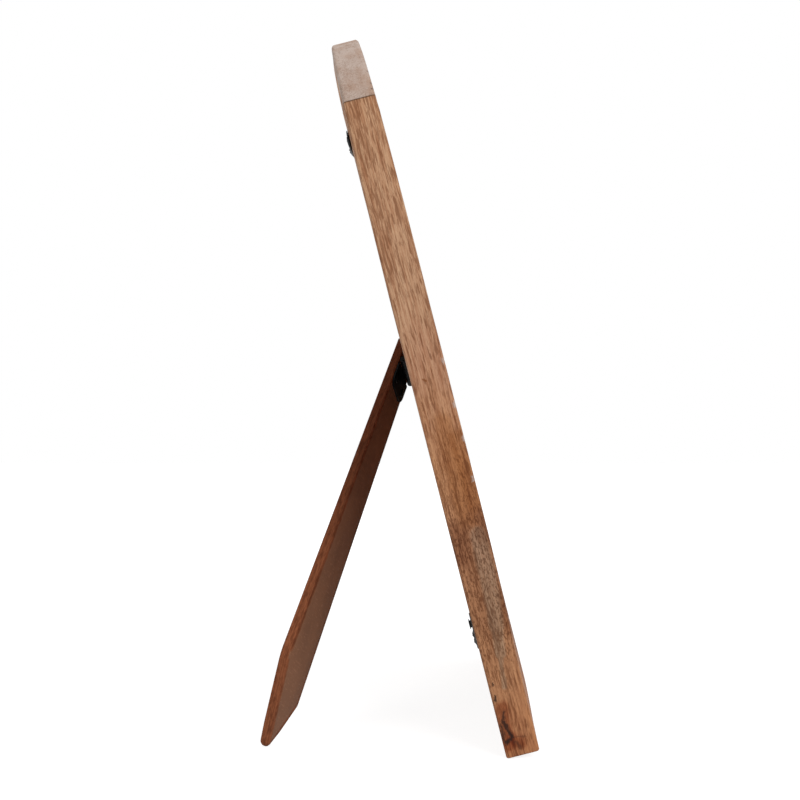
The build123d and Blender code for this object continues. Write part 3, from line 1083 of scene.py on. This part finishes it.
# Screws: black slotted screws with low round heads, one through each button into the wood.
# The head stands just clear of the button so that it can turn.
head_radius = 0.0022
head_seat = 0.0007
head_rise = 0.0004
head_rim = 0.00012
screw_length = 0.01
taper_start = 0.0072
point_start = 0.0092
point_radius = 0.0006
screw_tip = 0.0001
slot_width = 0.0006
slot_depth = 0.00026
slot_reach = 0.004
screw_coat = black_metal("screw_coat", (0.014, 0.013, 0.012), Specular_IOR_Level=0.3)
screw_profile = [(screw_tip, -screw_length), (point_radius, -point_start), (screw_radius, -taper_start)]
screw_profile += [(screw_radius, head_seat), (head_radius - 0.0001, head_seat)]
screw_profile += [(head_radius, head_seat + 0.00008)]
for turn in quarter_turn(8)[:-1]:
    height = head_seat + head_rim + (head_rise - head_rim) * math.sin(turn)
    screw_profile.append((head_radius * math.cos(turn), height))
screw_profile.append((screw_tip, head_seat + head_rise))
screw_stands = (0.0, 0.0001, 0.0005, 0.0002)
for number, (corner, turn) in enumerate(button_turns.items()):
    joint = joints[corner + "_turn"]
    pivot = Vector(joint["pos_m"]) - Vector(joint["axis"]) * button_lift
    base = Matrix.Translation(pivot) @ upright.to_3x3().to_4x4()
    button = button_plate(corner + "_turn_button")
    button_place = base @ Matrix.Rotation(math.radians(turn), 4, "Y")
    settle(button, button_coat, button_place, corner + "_button", "button_steel", corner + "_button")
    screw = skin(corner + "_slotted_screw", turned_rings(screw_profile, Vector((0, 0, 0)), 36))
    top = head_seat + head_rise
    driver_slot = cutter_box(
        (-slot_reach, top - slot_depth, -slot_width / 2), (slot_reach, top + head_radius, slot_width / 2)
    )
    carve(screw, driver_slot)
    bpy.data.objects.remove(driver_slot)
    stand = Matrix.Translation((0, screw_stands[number], 0))
    screw_place = base @ stand @ Matrix.Rotation(math.radians(25 + 55 * number), 4, "Y")
    settle(screw, screw_coat, screw_place, "frame", "screw_steel", corner + "_screw")

# Studio: a white floor that fades into a white background and keeps a soft shadow of the object,
# a large lamp high in front on the viewer's side, and even white light all round.
floor_mesh = bpy.data.meshes.new("studio_floor")
reach = 6.0
floor_mesh.from_pydata(
    [(-reach, -reach, 0), (reach, -reach, 0), (reach, reach, 0), (-reach, reach, 0)], [], [(0, 1, 2, 3)]
)
floor = add_object("studio_floor", floor_mesh)
floor_white, tree, shader = new_material(
    "studio_white", Base_Color=(0.8, 0.8, 0.8, 1), Roughness=0.9, Specular_IOR_Level=0.0
)


def seen_share(tree):
    """1 for what is seen, straight, in gloss or through glass, and 0 for light that falls on the object."""
    path = add_node("LightPath", {}, tree).outputs
    indirect = maths("MAXIMUM", path["Is Glossy Ray"], path["Is Transmission Ray"])
    return maths("MAXIMUM", path["Is Camera Ray"], indirect)


shade = add_node("BsdfDiffuse", {"Color": (0.3, 0.3, 0.3, 1)}, tree).outputs[0]
from_middle = length(object_place(tree))
fading = scaled(step(from_middle, 0.2, 1.0), 0.2, 0.85)
glow = add_node("Emission", {"Color": (1, 1, 1, 1), "Strength": fading}).outputs[0]
bright = add_node("AddShader", {0: shade, 1: glow}).outputs[0]
ground = add_node("MixShader", {0: seen_share(tree), 1: shader.outputs[0], 2: bright}).outputs[0]
feed(tree.nodes["Material Output"], Surface=ground)
floor_mesh.materials.append(floor_white)

world = bpy.data.worlds.new("studio_light")
bpy.context.scene.world = world
world.use_nodes = True
tree = world.node_tree
feed(tree.nodes["Background"], Strength=scaled(seen_share(tree), 0.6, 0.4))
tree.nodes["Background"].inputs["Color"].default_value = (1, 1, 1, 1)


def lamp(name, place, target, size, power):
    data = bpy.data.lights.new(name, "AREA")
    data.shape = "DISK"
    data.size = size
    data.energy = power
    made = add_object(name, data)
    made.location = place
    made.rotation_euler = (Vector(target) - Vector(place)).to_track_quat("-Z", "Y").to_euler()
    made.visible_glossy = False


lamp("key_lamp", (-1.3, -1.2, 1.3), (0, 0, 0.15), 1.5, 34)
lamp("rear_lamp", (-1.3, 1.3, 0.9), (0, 0, 0.15), 1.2, 9)
lamp("top_lamp", (0.1, 0.2, 1.9), (0, 0, 0.15), 1.6, 10)

# Camera: level, square to the left side of the frame, as close as the perspective of the photograph says.
# The picture is shifted, since the point that the camera faces lies off its middle.
picture_size = 800
eye_pixel = (451.2, 444.6)
eye_distance = 1014
back_edge_pixel = (506.8, 759.5)
pixel = 0.0003927
camera_data = bpy.data.cameras.new("side_camera")
camera_data.sensor_width = 36
camera_data.lens = eye_distance / picture_size * camera_data.sensor_width
camera_data.shift_x = (picture_size / 2 - eye_pixel[0]) / picture_size
camera_data.shift_y = (eye_pixel[1] - picture_size / 2) / picture_size
camera_data.clip_start = 0.01
camera = add_object("side_camera", camera_data)
camera.location = (
    -half_width - eye_distance * pixel,
    back_edge + (back_edge_pixel[0] - eye_pixel[0]) * pixel,
    (back_edge_pixel[1] - eye_pixel[1]) * pixel,
)
camera.rotation_euler = (math.pi / 2, 0, -math.pi / 2)
bpy.context.scene.camera = camera
bpy.context.scene.view_settings.view_transform = "Standard"
